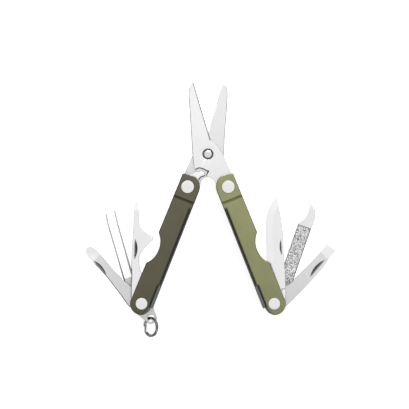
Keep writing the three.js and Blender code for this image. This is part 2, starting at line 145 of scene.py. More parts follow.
# The knife's notch, the file's bed with its grit, and the tweezers' tips. A recess is given by its
# left side, right side, start and end.
KNIFE_NOTCH = (3.1, 4.6, 5.7, 6.7)
KNIFE_NOTCH_DEPTH = 0.25
FILE_BED = (-1.2, 4.7, 7.0, 36.5)
FILE_BED_DEPTH = 0.16
GRIT_MARGIN = 0.24
GRIT_PITCH = 0.3
GRIT_RISE = 0.13
GRIT_SEED = 7
ARM_TIP_FROM = 36
ARM_TIP_SLOPE = 5

# The radii of rounded edges, and how far up a tool its finer tip starts.
EDGE = 0.08
FOLD_RADIUS = 0.75
SCALE_EDGE = 0.4
BLADE_EDGE = 0.14
SPRUNG_EDGE = 0.2
BACK_EDGE = 0.3
FINE_EDGE = 0.05
BOLD_EDGE = 0.5
SCISSOR_TIP_FROM = 29.5
TOOL_TIP_FROM = 45.0

# How outlines are refined.
FINE_TURN = math.radians(3)
CORNER = math.radians(28)
STRAIGHT = 4.0
LONG_SIDE = 2.2
LONGEST_STEP = 2.5
SHARPEST = 0.35
SMOOTH_BELOW = math.radians(34)

# How an edge is eased: the share of its radius left in from the side, and down from the face.
WORN = ((1, 0), (0.88, 0.03), (0.1, 0.68), (0, 0.8))
QUARTER = tuple((1 - math.sin(a), 1 - math.cos(a)) for a in (math.pi / 8 * k for k in range(5)))

# The key ring: the mean radius of its turns, its tilt in degrees, and its wire.
RING_RADIUS = 3.9
RING_TILT = 46.0
RING_HALF_WIDTH = 0.6
RING_HALF_THICKNESS = 0.3
RING_HALF_RISE = 0.33

# The camera: where it looks, from the scissor pivot, and what it takes in, in metres.
VIEW_OFFSET = (-0.00152, -0.02227)
VIEW_WIDTH = 0.1797
VIEW_DISTANCE = 1.2

# A piece's material slots: its body, its ground, etched or grooved faces, and faces painted dark as
# shade.
BODY = 0
WORKED = 1
SHADED = 2


# ---- Places -------------------------------------------------------------------------------------

joints = {joint["name"]: joint for joint in frame["joints"]}


def pivot_of(joint):
    return Vector(joints[joint]["pos_m"])


def place_at(origin, side, lean):
    """The own frame of a piece: its origin, its side, and its lean in degrees, mirrored on the left."""
    turn = Matrix.Rotation(math.radians(side * lean), 4, "Z")
    scale = Matrix.Diagonal((side * MM, MM, MM, 1))
    return Matrix.Translation((origin.x, origin.y, 0)) @ turn @ scale


pivot = pivot_of("scissor_squeeze")
tang_rivet = {RIGHT: pivot_of("right_handle_fold"), LEFT: pivot_of("left_handle_fold")}
tool_rivet = {RIGHT: pivot_of("knife_swing"), LEFT: pivot_of("opener_swing")}
along_handle = tang_rivet[RIGHT] - tool_rivet[RIGHT]
HANDLE_LEAN = math.degrees(math.atan2(-along_handle.x, along_handle.y))
RIVET_SPAN = along_handle.length / MM

scissor_place = {side: place_at(pivot, side, 0) for side in (RIGHT, LEFT)}
handle_place = {side: place_at(tang_rivet[side], side, HANDLE_LEAN) for side in (RIGHT, LEFT)}


def tool_place(side, joint):
    """A tool's own frame. A tool's joint ends where the tool is shut, so its high limit is its opening."""
    opening = joints[joint]["range_deg"][1]
    return place_at(tool_rivet[side], side, HANDLE_LEAN - opening)


def heights(node):
    """The lowest and highest level of a CAD node, in millimetres from the table."""
    low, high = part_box(node)
    return low.z / MM, high.z / MM


CAVITY_FLOOR = heights("right_frame")[0] + SHEET
CAVITY_ROOF = heights("right_frame")[1] - SHEET


# ---- Outlines -----------------------------------------------------------------------------------


def signed_area(loop):
    return sum(a.x * b.y - a.y * b.x for a, b in zip(loop, loop[1:] + loop[:1])) / 2


def facing(loop, way):
    """The loop run counter-clockwise for way 1, and clockwise for way -1."""
    return loop if signed_area(loop) * way > 0 else loop[::-1]


def cad_loops(node, place, upper):
    """The outlines of a CAD node's flat upper or lower face, the outer one first, in its own frame."""
    mesh = frame["nodes"][node].data
    to_own = place.inverted()
    points = [to_own @ vertex.co for vertex in mesh.vertices]
    levels = [point.z for point in points]
    level = max(levels) if upper else min(levels)
    keys = [(round(point.x, 4), round(point.y, 4)) for point in points]
    border = {}
    for polygon in mesh.polygons:
        if any(abs(levels[i] - level) > 1e-3 for i in polygon.vertices):
            continue
        corners = [keys[i] for i in polygon.vertices]
        for a, b in zip(corners, corners[1:] + corners[:1]):
            if (b, a) in border:
                del border[b, a]
            else:
                border[a, b] = True
    after = {a: b for a, b in border}
    loops = []
    while after:
        start = next(iter(after))
        loop = [start]
        while after[loop[-1]] != start:
            loop.append(after.pop(loop[-1]))
        del after[loop[-1]]
        loops.append([Vector(point) for point in loop])
    loops.sort(key=lambda loop: -abs(signed_area(loop)))
    return [facing(loop, -1 if i else 1) for i, loop in enumerate(loops)]


def tangent(before, after, own):
    """A smooth curve's direction between two sides of an outline, or the own side's at a corner."""
    if before.angle(after) > CORNER or min(before.length, after.length) > STRAIGHT:
        return own.normalized()
    shorter, longer = sorted((before, after), key=lambda side: side.length)
    if longer.length > LONG_SIDE * shorter.length:
        return longer.normalized()
    return (before.normalized() * after.length + after.normalized() * before.length).normalized()


def refined(loop):
    """The outline with its round stretches as finer curves, its corners kept and its long sides split."""
    sides = [b - a for a, b in zip(loop, loop[1:] + loop[:1])]
    fine = []
    for i, (start, side) in enumerate(zip(loop, sides)):
        leave = tangent(sides[i - 1], side, side)
        arrive = tangent(side, sides[(i + 1) % len(sides)], side)
        turn = leave.angle(arrive, 0)
        steps = max(math.ceil(turn / FINE_TURN), math.ceil(side.length / LONGEST_STEP), 1)
        for step in range(steps):
            t = step / steps
            bend = leave * (t * (1 - t) ** 2) - arrive * (t * t * (1 - t))
            fine.append(start + side * (t * t * (3 - 2 * t)) + bend * side.length)
    return fine


def outline_of(node, place, upper=True):
    """The refined outlines of a CAD node, in its own frame."""
    return [refined(loop) for loop in cad_loops(node, place, upper)]


def circle(radius, way=1, centre=(0, 0), steps=72):
    turns = [2 * math.pi * i / steps for i in range(steps)]
    return facing([Vector(centre) + radius * Vector((math.cos(a), math.sin(a))) for a in turns], way)


def rectangle(x0, x1, y0, y1):
    return [Vector(corner) for corner in ((x0, y0), (x1, y0), (x1, y1), (x0, y1))]


def outward(loop):
    """For each point of an outline, the step that moves both of its sides out of the solid by one."""
    steps = []
    for before, here, after in zip(loop[-1:] + loop[:-1], loop, loop[1:] + loop[:1]):
        a = (here - before).normalized()
        b = (after - here).normalized()
        steps.append(Vector((a.y + b.y, -a.x - b.x)) / max(1 + a.dot(b), SHARPEST))
    return steps


# ---- Solids -------------------------------------------------------------------------------------


def band(bm, lower, upper):
    """A strip of four-sided faces between two closed rings of vertices."""
    for i in range(len(lower)):
        bm.faces.new((lower[i - 1], lower[i], upper[i], upper[i - 1]))


def made(bm, name="piece"):
    """The solid as an object, still in its own frame."""
    bmesh.ops.recalc_face_normals(bm, faces=bm.faces)
    mesh = bpy.data.meshes.new(name)
    bm.to_mesh(mesh)
    bm.free()
    for _ in (BODY, WORKED, SHADED):
        mesh.materials.append(None)
    solid = bpy.data.objects.new(name, mesh)
    bpy.context.scene.collection.objects.link(solid)
    return solid


def radius_at(radius, point):
    return radius(point) if callable(radius) else radius


def slab(loops, low, high, under=EDGE, over=EDGE, easing=WORN):
    """A plate between two heights. Its lower and upper edges are eased by `under` and `over`, each
    a radius or a function that gives the radius at a point of the outline."""
    bm = bmesh.new()
    ends = []
    for loop in loops:
        steps = outward(loop)
        rings = []
        for level, rise, radius in ((low, 1, under), (high, -1, over)):
            half = []
            for inset, drop in easing:
                ring = []
                for point, step in zip(loop, steps):
                    r = radius_at(radius, point)
                    x, y = point - step * (r * inset)
                    ring.append(bm.verts.new((x, y, level + rise * r * drop)))
                half.append(ring)
            rings += half if rise > 0 else half[::-1]
        for lower, upper in zip(rings, rings[1:]):
            band(bm, lower, upper)
        ends.append((rings[0], rings[-1]))
    for end in (0, 1):
        rims = []
        for pair in ends:
            rim = pair[end]
            rims += [bm.edges.get((rim[i - 1], rim[i])) for i in range(len(rim))]
        bmesh.ops.triangle_fill(bm, use_beauty=True, use_dissolve=False, edges=rims)
    return made(bm)


def bar(x0, x1, y0, y1, z0, z1, radius=EDGE):
    return slab([rectangle(x0, x1, y0, y1)], z0, z1, radius, radius)


def lathe(profile, steps=72):
    """A solid of revolution about Z from a profile of (radius, height) that starts and ends on the axis."""
    bm = bmesh.new()
    first = bm.verts.new((0, 0, profile[0][1]))
    last = bm.verts.new((0, 0, profile[-1][1]))
    turns = [2 * math.pi * i / steps for i in range(steps)]
    rings = []
    for radius, height in profile[1:-1]:
        rings.append([bm.verts.new((radius * math.cos(a), radius * math.sin(a), height)) for a in turns])
    for lower, upper in zip(rings, rings[1:]):
        band(bm, lower, upper)
    for i in range(steps):
        bm.faces.new((first, rings[0][i], rings[0][i - 1]))
        bm.faces.new((last, rings[-1][i - 1], rings[-1][i]))
    return made(bm)


def cut(solid, *cutters):
    """Takes the cutters out of the solid, one after another. They are used up."""
    for cutter in cutters:
        modifier = solid.modifiers.new("cut", "BOOLEAN")
        modifier.operation = "DIFFERENCE"
        modifier.solver = "EXACT"
        modifier.object = cutter
        depsgraph = bpy.context.evaluated_depsgraph_get()
        result = bpy.data.meshes.new_from_object(solid.evaluated_get(depsgraph))
        solid.modifiers.clear()
        solid.data = result
        bpy.data.objects.remove(cutter)


def marked(cutter, slot):
    """Gives the faces that a cutter leaves to that one of a piece's material slots."""
    for polygon in cutter.data.polygons:
        polygon.material_index = slot
    return cutter


def turned_about_x(cutter, degrees, y, z):
    """The cutter tilted about the crosswise line at that place along the tool."""
    middle = Matrix.Translation((0, y, z))
    cutter.data.transform(middle @ Matrix.Rotation(math.radians(degrees), 4, "X") @ middle.inverted())
    return cutter


# ---- Ground faces, nicks and notches ------------------------------------------------------------


def tip_grind(y, level, slope):
    """A cutter for the flat ground slope of a driver's tip, from a line across it to its end."""
    reach = 12
    side = math.copysign(1, slope)
    z0, z1 = (level, level + 4) if side > 0 else (level - 4, level)
    cutter = bar(-reach, reach, y, y + 2 * reach, z0, z1, 0.01)
    return marked(turned_about_x(cutter, -slope, y, level), WORKED)


def nearest(loop, spot):
    """Which of an outline's points is nearest to a spot."""
    return min(range(len(loop)), key=lambda i: (loop[i] - Vector(spot)).length)


def stretch(loop, start, end):
    """The part of an outline from the point nearest to `start`, counter-clockwise to that of `end`."""
    first = nearest(loop, start)
    last = nearest(loop, end)
    turned = loop[first:] + loop[:first]
    return turned[: (last - first) % len(loop) + 1]


def edge_grind(path, width, face, edge, clear=1.5):
    """A cutter for a bevel along an edge. `path` runs along the edge with the solid on its left, the
    bevel reaches `width` into the face, and `edge` is the height left of the edge itself."""
    bm = bmesh.new()
    away = math.copysign(1, face - edge)
    fall = (face - edge) / width
    rings = []
    for i, point in enumerate(path):
        before = path[max(i - 1, 0)]
        after = path[min(i + 1, len(path) - 1)]
        ahead = (after - before).normalized()
        out = Vector((ahead.y, -ahead.x))
        end = {0: -1, len(path) - 1: 1}.get(i, 0)
        base = point + ahead * (0.6 * end)
        corners = (
            (base - out * width, face),
            (base + out * clear, edge - fall * clear),
            (base + out * clear, face + 2 * away),
            (base - out * width, face + 2 * away),
        )
        rings.append([bm.verts.new((*flat, height)) for flat, height in corners])
    for lower, upper in zip(rings, rings[1:]):
        band(bm, lower, upper)
    bm.faces.new(rings[0])
    bm.faces.new(rings[-1])
    return marked(made(bm), WORKED)


def shade_line(loop, start, end, face):
    """A cutter for a narrow bevel of painted shade along the upper edge of a part of an outline."""
    path = stretch(loop, start, end)
    return marked(edge_grind(path, SHADE_WIDTH, face, face - SHADE_DEPTH, TIGHT_CLEAR), SHADED)


def nail_nick(start, end, bulge, face, slope=33):
    """A cutter for a nail nick, painted dark as shade: its floor slopes down from a straight line to a
    curved wall.
    """
    start, end = Vector(start), Vector(end)
    middle = (start + end) / 2
    half = (end - start).length / 2
    ahead = (end - start).normalized()
    aside = Vector((-ahead.y, ahead.x))
    radius = (half * half + bulge * bulge) / (2 * bulge)
    spread = math.asin(half / radius)
    steps = 24
    bm = bmesh.new()
    floor, roof = [], []
    lip = 0.02
    for i in range(steps + 1):
        angle = spread * (2 * i / steps - 1)
        rise = radius * math.cos(angle) - (radius - bulge)
        point = middle + ahead * (radius * math.sin(angle)) + aside * rise
        depth = rise * math.tan(math.radians(slope))
        floor.append(bm.verts.new((point.x, point.y, face + lip - depth)))
        roof.append(bm.verts.new((point.x, point.y, face + 1)))
    bm.faces.new(floor)
    bm.faces.new(roof)
    band(bm, floor, roof)
    return marked(made(bm), SHADED)


# ---- Materials ----------------------------------------------------------------------------------


class Finish:
    """A procedural material that reads each piece's own millimetres from its `own` attribute."""

    def __init__(self, name, colour, metallic, roughness):
        self.material = bpy.data.materials.new(name)
        self.material.use_nodes = True
        self.tree = self.material.node_tree
        self.shader = self.tree.nodes["Principled BSDF"]
        self.shader.inputs["Metallic"].default_value = metallic
        self.colour = colour
        self.roughness = roughness
        self.own = self.node("ShaderNodeAttribute")
        self.own.attribute_name = "own"
        self.heights = []
        self.tints = []

    def node(self, kind, **values):
        made_node = self.tree.nodes.new(kind)
        for name, value in values.items():
            setattr(made_node, name, value)
        return made_node

    def link(self, source, target):
        self.tree.links.new(source, target)

    def noise(self, scale, detail=3.0, distortion=0.0):
        """Noise with that many waves per millimetre along X, Y and Z of the piece."""
        mapping = self.node("ShaderNodeMapping")
        mapping.inputs["Scale"].default_value = scale
        self.link(self.own.outputs["Vector"], mapping.inputs["Vector"])
        texture = self.node("ShaderNodeTexNoise")
        texture.inputs["Scale"].default_value = 1.0
        texture.inputs["Detail"].default_value = detail
        texture.inputs["Distortion"].default_value = distortion
        self.link(mapping.outputs["Vector"], texture.inputs["Vector"])
        return texture.outputs["Fac"]

    def spread(self, source, low, high, start=0.3, end=0.7):
        """The source's middle range stretched to run from low to high."""
        ranged = self.node("ShaderNodeMapRange")
        for name, value in (("From Min", start), ("From Max", end), ("To Min", low), ("To Max", high)):
            ranged.inputs[name].default_value = value
        self.link(source, ranged.inputs["Value"])
        return ranged.outputs["Result"]

    def times(self, a, b):
        product = self.node("ShaderNodeMath", operation="MULTIPLY")
        self.link(a, product.inputs[0])
        self.link(b, product.inputs[1])
        return product.outputs["Value"]

    def shade(self, source):
        """Multiplies the colour by the source."""
        self.tints.append(source)

    def fade(self, start, end, low, high):
        """Shades the colour evenly along the piece, from low at one place to high at the other."""
        split = self.node("ShaderNodeSeparateXYZ")
        self.link(self.own.outputs["Vector"], split.inputs["Vector"])
        self.shade(self.spread(split.outputs["Y"], low, high, start, end))

    def vary_roughness(self, source, by):
        self.link(
            self.spread(source, self.roughness - by, self.roughness + by),
            self.shader.inputs["Roughness"],
        )

    def relief(self, source, depth):
        """A bump of that depth in millimetres."""
        bump = self.node("ShaderNodeBump")
        bump.inputs["Distance"].default_value = depth * MM
        self.link(source, bump.inputs["Height"])
        if self.heights:
            self.link(self.heights[-1], bump.inputs["Normal"])
        self.heights.append(bump.outputs["Normal"])

    def done(self):
        tint = self.tints[0]
        for other in self.tints[1:]:
            tint = self.times(tint, other)
        mix = self.node("ShaderNodeVectorMath", operation="SCALE")
        mix.inputs[0].default_value = self.colour
        self.link(tint, mix.inputs["Scale"])
        self.link(mix.outputs["Vector"], self.shader.inputs["Base Color"])
        if self.heights:
            self.link(self.heights[-1], self.shader.inputs["Normal"])
        return self.material


def grey(tone):
    return (tone, tone, tone)


def brushed(name, tone, roughness, streak=0.02, depth=0.0003, fade=None):
    """Steel with fine scratches along the piece and faint clouds in its tone, and, where a fade is given,
    a painted gradient of light and shade along it.
    """
    finish = Finish(name, grey(tone), 1.0, roughness)
    lines = finish.noise((7.0, 0.3, 7.0), detail=4.0)
    clouds = finish.noise((0.16, 0.1, 0.3), detail=2.0)
    finish.shade(finish.spread(lines, 1 - streak, 1 + streak / 2))
    finish.shade(finish.spread(clouds, 1 - streak / 2, 1.0))
    if fade:
        finish.fade(*fade)
    finish.vary_roughness(lines, 0.03)
    finish.relief(lines, depth)
    return finish.done()


def polished(name, tone, roughness, fades=()):
    """Bright steel with a few fine marks, and any fades painted along it as shade."""
    finish = Finish(name, grey(tone), 1.0, roughness)
    marks = finish.noise((1.6, 2.0, 1.6), detail=5.0, distortion=1.5)
    finish.shade(finish.spread(marks, 0.98, 1.0))
    for fade in fades:
        finish.fade(*fade)
    finish.vary_roughness(marks, 0.03)
    finish.relief(marks, 0.0005)
    return finish.done()


def anodised(name, colour, fade=(-58, 2, 0.87, 1.02)):
    """Coloured aluminium: a fine matt grain along the handle, faint clouds and a few pale specks, and a
    painted light gradient along the handle, darker away from the tang rivet.
    """
    finish = Finish(name, colour, 0.55, 0.42)
    grain = finish.noise((7.0, 0.9, 7.0), detail=4.0)
    clouds = finish.noise((0.12, 0.06, 0.3), detail=3.0)
    specks = finish.noise((2.4, 2.4, 2.4), detail=2.0)
    finish.shade(finish.spread(grain, 0.93, 1.05))
    finish.shade(finish.spread(clouds, 0.9, 1.08))
    finish.shade(finish.spread(specks, 1.0, 1.22, 0.7, 0.8))
    # A painted light gradient along the handle.
    finish.fade(*fade)
    finish.vary_roughness(grain, 0.07)
    finish.relief(grain, 0.004)
    return finish.done()


def gritty(name, tone):
    """Crushed grit on a file: each grain has a tone of its own."""
    finish = Finish(name, grey(tone), 0.7, 0.4)
    grains = finish.noise((2.7, 2.7, 2.7), detail=2.0)
    specks = finish.noise((1.2, 1.2, 1.2), detail=1.0)
    finish.shade(finish.spread(grains, 0.12, 1.05, 0.38, 0.54))
    finish.shade(finish.spread(specks, 0.75, 1.05))
    finish.vary_roughness(grains, 0.12)
    finish.relief(grains, 0.04)
    return finish.done()


# The blades darken towards their tangs: a painted reflection gradient.
FRONT_STEEL = brushed("front_blade_steel", 0.85, 0.26, fade=(-18, 16, 0.91, 1.0))
REAR_STEEL = brushed("rear_blade_steel", 0.765, 0.28, fade=(-18, 14, 0.86, 1.0))
BLADE_STEEL = brushed("blade_steel", 0.81, 0.26)
GROUND_STEEL = brushed("ground_steel", 0.86, 0.3)
# The scissors' ground cutting edge, in a darker copy of the blade steel: painted shade, so it reads as a
# dark line.
EDGE_SHADE_STEEL = brushed("cutting_edge_painted_shade", 0.5, 0.3)
# Near-black steel for the shade lines along edges: painted shade.
SHADE_LINE_STEEL = brushed("painted_shade_line", 0.04, 0.5)
# The drivers darken towards their root: a painted light gradient.
DRIVER_STEEL = brushed("driver_steel", 0.67, 0.3, fade=(4, 26, 0.92, 1.02))
TIP_STEEL = brushed("driver_tip_steel", 0.76, 0.3)
OPENER_TIP_STEEL = brushed("opener_tip_steel", 0.7, 0.3)
# The tweezers' arms darken towards their root: painted shade.
ARM_STEEL = brushed("arm_steel", 0.44, 0.35, fade=(9.4, 24, 0.22, 1.0))
PLATE_STEEL = brushed("plate_steel", 0.62, 0.3)
# Dark steel for nail nicks and the knife's notch: painted shade.
NICK_SHADE_STEEL = brushed("nick_painted_shade", 0.3, 0.35)
FILE_STEEL = brushed("file_steel", 0.78, 0.26)
FILE_GRIT = gritty("file_grit", 0.72)
ETCHED_STEEL = brushed("etched_steel", 0.1, 0.5)
SPRING_STEEL = polished("spring_steel", 0.88, 0.2)
FRAME_STEEL = brushed("frame_steel", 0.15, 0.36, streak=0.14)
# Near-black steel for the seams beside the covers, as painted shadow, and for the ruler's ticks.
SEAM_SHADOW_AND_TICK_STEEL = brushed("seam_shadow_and_tick_steel", 0.03, 0.5)
RIVET_STEEL = polished("rivet_steel", 0.78, 0.25)
PIVOT_STEEL = polished("pivot_steel", 0.68, 0.25)
# Near-black steel for the bush: painted shade round the pivot rivet.
BUSH_SHADE_STEEL = polished("bush_painted_shade", 0.1, 0.4)
WASHER_STEEL = brushed("washer_steel", 0.55, 0.35)
TAB_STEEL = brushed("tab_steel", 0.6, 0.3)
# The ring's chrome darkens towards the ring's top and bottom: painted shade and painted reflection.
CHROME = polished("ring_chrome", 0.38, 0.14, ((-4.4, -1.6, 0.2, 1.0), (4.4, 1.8, 0.15, 1.0)))
COVER = {
    RIGHT: anodised("green_cover", (0.245, 0.255, 0.122)),
    LEFT: anodised("dark_cover", (0.097, 0.09, 0.0555)),
}
# The covers' groove and rivet seats, in darker copies of the covers' colours: painted shade.
COVER_SHADE = {
    RIGHT: anodised("green_cover_painted_shade", (0.13, 0.135, 0.055)),
    LEFT: anodised("dark_cover_painted_shade", (0.032, 0.03, 0.013)),
}


def settle(solid, name, place, body, materials, replaced=None):
    """Puts a finished solid in its place, with its own millimetres kept as an attribute, and lets it
    ride on its body in place of its CAD node."""
    solid.name = name
    mesh = solid.data
    mesh.name = name
    own = mesh.attributes.new("own", "FLOAT_VECTOR", "POINT")
    for vertex, stored in zip(mesh.vertices, own.data):
        stored.vector = vertex.co
    mesh.transform(place)
    if place.determinant() < 0:
        mesh.flip_normals()
    for slot_number, material in enumerate(materials):
        mesh.materials[slot_number] = material
    while len(mesh.materials) > len(materials):
        mesh.materials.pop()
    mesh.shade_smooth()
    mesh.set_sharp_from_angle(angle=SMOOTH_BELOW)
    normals = solid.modifiers.new("even_shading", "WEIGHTED_NORMAL")
    normals.keep_sharp = True
    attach(solid, body)
    if replaced:
        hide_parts(replaced)
    return solid


# ---- Scissors -----------------------------------------------------------------------------------


def back_edge(point):
    """A scissor blade's edges: its back is rounded more, and its tip less."""
    if point.y > SCISSOR_TIP_FROM:
        return FINE_EDGE
    on_back = point.x < -5.9 and point.y > -5
    return BACK_EDGE if on_back else BLADE_EDGE


def make_scissor_blade(node, name, side, steel, start, tip):
    """A scissor blade, its cutting edge ground from `start` to the tip on the face that is outward, in
    steel painted darker as shade. The front blade has a painted shade line round its step, and the rear one
    a recess for the rivet's flange."""
    place = scissor_place[side]
    low, high = heights(node)
    loops = outline_of(node, place)
    blade = slab(loops, low, high, BLADE_EDGE, back_edge)
    face, edge = (high, high - CUTTING_DEPTH) if side == RIGHT else (low, low + CUTTING_DEPTH)
    cut(blade, edge_grind(stretch(loops[0], start, tip), CUTTING_WIDTH, face, edge))
    if side == RIGHT:
        for first, last in STEP_STRETCHES:
            cut(blade, shade_line(loops[0], first, last, high))
    else:
        cut(blade, slab([circle(FLANGE_RECESS_RADIUS)], low - 1, low + FLANGE_RECESS_DEPTH))
    settle(blade, name, place, name, (steel, EDGE_SHADE_STEEL, SHADE_LINE_STEEL), node)


def make_scissors():
    make_scissor_blade("scissor_blade_front", "front_blade", RIGHT, FRONT_STEEL, (1.0, 6.7), (-6.5, 32.0))
    make_scissor_blade("scissor_blade_rear", "rear_blade", LEFT, REAR_STEEL, (0.7, 6.7), (-6.7, 32.1))


def make_pivot():
    low, high = heights("scissor_pivot_rivet")
    ease = PIVOT_EASE
    rivet = lathe([
        (0, low),
        (FLANGE_RADIUS - ease, low),
        (FLANGE_RADIUS, low + ease),
        (FLANGE_RADIUS, low + FLANGE_THICKNESS),
        (PIVOT_RADIUS, low + FLANGE_THICKNESS),
        (PIVOT_RADIUS, high - ease),
        (PIVOT_RADIUS - ease * 0.3, high - ease * 0.3),
        (PIVOT_RADIUS - ease, high),
        (0, high),
    ])
    settle(rivet, "pivot_rivet", scissor_place[RIGHT], "pivot_rivet",
           (PIVOT_STEEL,), "scissor_pivot_rivet")
    # The bush is sunk below the blade, and its near-black steel is painted shade round the rivet.
    bottom = heights("scissor_pivot_bush")[0]
    bush = slab([circle(BUSH_RADIUS), circle(BUSH_BORE, -1)], bottom, high - BUSH_SUNK)
    settle(bush, "pivot_bush", scissor_place[RIGHT], "pivot_bush",
           (BUSH_SHADE_STEEL,), "scissor_pivot_bush")


def make_spring():
    place = scissor_place[LEFT]
    low, high = heights("scissor_spring")
    loops = outline_of("scissor_spring", place)
    spring = slab(loops, low, high, SPRUNG_EDGE, SPRUNG_EDGE)
    # A line of painted shade along a stretch of the spring's edge.
    cut(spring, shade_line(loops[0], *SPRING_STRETCH, high))
    settle(spring, "return_spring", place, "spring",
           (SPRING_STEEL, GROUND_STEEL, SHADE_LINE_STEEL), "scissor_spring")


# ---- Handles ------------------------------------------------------------------------------------


def fold_radius(point):
    """The channel's bend along the web, and a plain cut edge everywhere else."""
    on_web = point.x < WEB_OUTER + 0.05 and TONGUE_ROOT - 0.1 < point.y < WEB_TOP
    return FOLD_RADIUS if on_web else EDGE


def make_channel(side, name):
    place = handle_place[side]
    low, high = heights(f"{name}_frame")
    loops = outline_of(f"{name}_frame", place, upper=False)
    channel = slab(loops, low, high, fold_radius, fold_radius, QUARTER)
    far = 80
    cavity = bar(WEB_INNER, far, -far, far, CAVITY_FLOOR, CAVITY_ROOF, 0.2)
    mouth = bar(-far, far, WEB_TOP, far, CAVITY_FLOOR, CAVITY_ROOF)
    heel = bar(-far, far, -far, TONGUE_END, CAVITY_FLOOR, CAVITY_ROOF)
    cut(channel, cavity, mouth, heel)
    across_web = (WEB_OUTER - 1, WEB_INNER + 1)
    for z in (CAVITY_FLOOR, CAVITY_ROOF - TONGUE_PLAY):
        cut(channel, bar(*across_web, -far, TONGUE_ROOT, z, z + TONGUE_PLAY, 0.05))
    for z in SLOTS_ABOVE_FLOOR:
        z0 = CAVITY_FLOOR + z
        cut(channel, bar(*across_web, -far, SLOT_TOP, z0, z0 + SLOT_WIDTH, 0.05))
    # Seams beside the covers' edges, in near-black steel: painted shadow. The ruler's ticks share that
    # steel.
    for face, away in ((high, 1), (low, -1)):
        levels = sorted((face - away * SEAM_DEPTH, face + away))
        for seam in (STRIP_SEAM, RELIEF_SEAM):
            cut(channel, marked(bar(*seam, *levels, 0.05), WORKED))
    cut(channel, *ruler_ticks(high))
    materials = (FRAME_STEEL, SEAM_SHADOW_AND_TICK_STEEL)
    settle(channel, f"{name}_channel", place, f"{name}_handle", materials, f"{name}_frame")


def ruler_ticks(face):
    """Cutters for the plain ticks of the ruler that runs along the channel's edge."""
    cutters = []
    for i in range(TICK_COUNT):
        y = TICK_START - i * TICK_PITCH
        inner = WEB_OUTER + (LONG_TICK_REACH if i % 5 == 0 else TICK_REACH)
        low, high = y - TICK_WIDTH / 2, y + TICK_WIDTH / 2
        tick = bar(WEB_OUTER - 1, inner, low, high, face - TICK_DEPTH, face + 1, 0.01)
        cutters.append(marked(tick, WORKED))
    return cutters


def make_scale(side, name, where, outer_face_up):
    """A cover, with a groove across its neck and a shallow seat round each rivet's head, both in a darker
    copy of the cover's colour as painted shade.
    """
    place = handle_place[side]
    node = f"{name}_scale_{where}"
    low, high = heights(node)
    loops = outline_of(node, place, upper=not outer_face_up)
    over, under = (SCALE_EDGE, EDGE) if outer_face_up else (EDGE, SCALE_EDGE)
    scale = slab(loops, low, high, under, over)

    def outer_layer(depth):
        """The heights of a cut of that depth into the outer face."""
        return (high - depth, high + 1) if outer_face_up else (low - 1, low + depth)

    across = (-COVER_REACH, COVER_REACH)
    along = (GROOVE_Y - GROOVE_WIDTH / 2, GROOVE_Y + GROOVE_WIDTH / 2)
    cut(scale, marked(bar(*across, *along, *outer_layer(GROOVE_DEPTH), GROOVE_SIDE), WORKED))
    for which, y in (("tang", 0), ("tool", -RIVET_SPAN)):
        seat = circle(head_radius(f"{name}_{which}_rivet") + SEAT_PLAY, 1, (0, y))
        cut(scale, marked(slab([seat], *outer_layer(SEAT_DEPTH), 0.01, 0.01), WORKED))
    materials = (COVER[side], COVER_SHADE[side])
    settle(scale, f"{name}_cover_{where}", place, f"{name}_handle", materials, node)


def head_radius(node):
    low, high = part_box(node)
    return (high.x - low.x) / MM / 2


def make_rivet(name, which, place):
    """A rivet through a handle, with a low domed head at both ends."""
    node = f"{name}_{which}_rivet"
    bottom, top = heights(node)
    radius = head_radius(node)
    rise = heights(f"{name}_scale_back")[0] - bottom
    crown = 0.06
    head = [
        (radius - 0.02, rise),
        (radius, rise - 0.05),
        (radius, rise * 0.5),
        (radius - 0.05, rise * 0.28),
        (radius - 0.16, crown + 0.03),
        (radius - 0.36, crown),
        (radius * 0.6, crown * 0.35),
        (0, 0),
    ]
    profile = [(r, bottom + z) for r, z in head[::-1]]
    profile += [(SHAFT, bottom + rise), (SHAFT, top - rise)]
    profile += [(r, top - z) for r, z in head]
    rivet = lathe(profile)
    settle(rivet, f"{name}_{which}_pin", place, f"{name}_handle", (RIVET_STEEL,), node)


def make_collar(node, place, body):
    collar = slab([circle(head_radius(node)), circle(BORE, -1)], *heights(node))
    settle(collar, f"{node}_ring", place, body, (WASHER_STEEL,), node)


def make_handle(side, name):
    make_channel(side, name)
    make_scale(side, name, "front", True)
    make_scale(side, name, "back", False)
    body = f"{name}_handle"
    tang = handle_place[side]
    tool = place_at(tool_rivet[side], side, HANDLE_LEAN)
    make_rivet(name, "tang", tang)
    make_rivet(name, "tool", tool)
    spring_seats = side == LEFT
    make_collar(f"{name}_tang_spacer_back", tang, "spring_seat_back" if spring_seats else body)
    make_collar(f"{name}_tang_spacer_front", tang, "spring_seat_front" if spring_seats else body)
    make_collar(f"{name}_tool_washer", tool, body)
    make_collar(f"{name}_tool_spacer", tool, body)


# ---- Tools --------------------------------------------------------------------------------------


def tool_edge(point):
    """A tool's edges, rounded less at a sharp tip."""
    return FINE_EDGE if point.y > TOOL_TIP_FROM else BLADE_EDGE


def make_knife():
    place = tool_place(RIGHT, "knife_swing")
    low, high = heights("knife_blade")
    loops = outline_of("knife_blade", place, upper=False)
    knife = slab(loops, low, high, tool_edge, tool_edge)
    belly = stretch(loops[0], KNIFE_POINT, KNIFE_HEEL)
    middle = (low + high) / 2
    for face, away in ((high, 1), (low, -1)):
        cut(knife, edge_grind(belly, KNIFE_GRIND, face, middle + away * KNIFE_EDGE))
    cut(knife, nail_nick((3.2, 21.2), (2.7, 28.4), 0.8, high))
    # The notch's ledge is painted dark as shade.
    cut(knife, marked(bar(*KNIFE_NOTCH, high - KNIFE_NOTCH_DEPTH, high + 1, 0.02), SHADED))
    settle(knife, "knife", place, "knife",
           (BLADE_STEEL, GROUND_STEEL, NICK_SHADE_STEEL), "knife_blade")


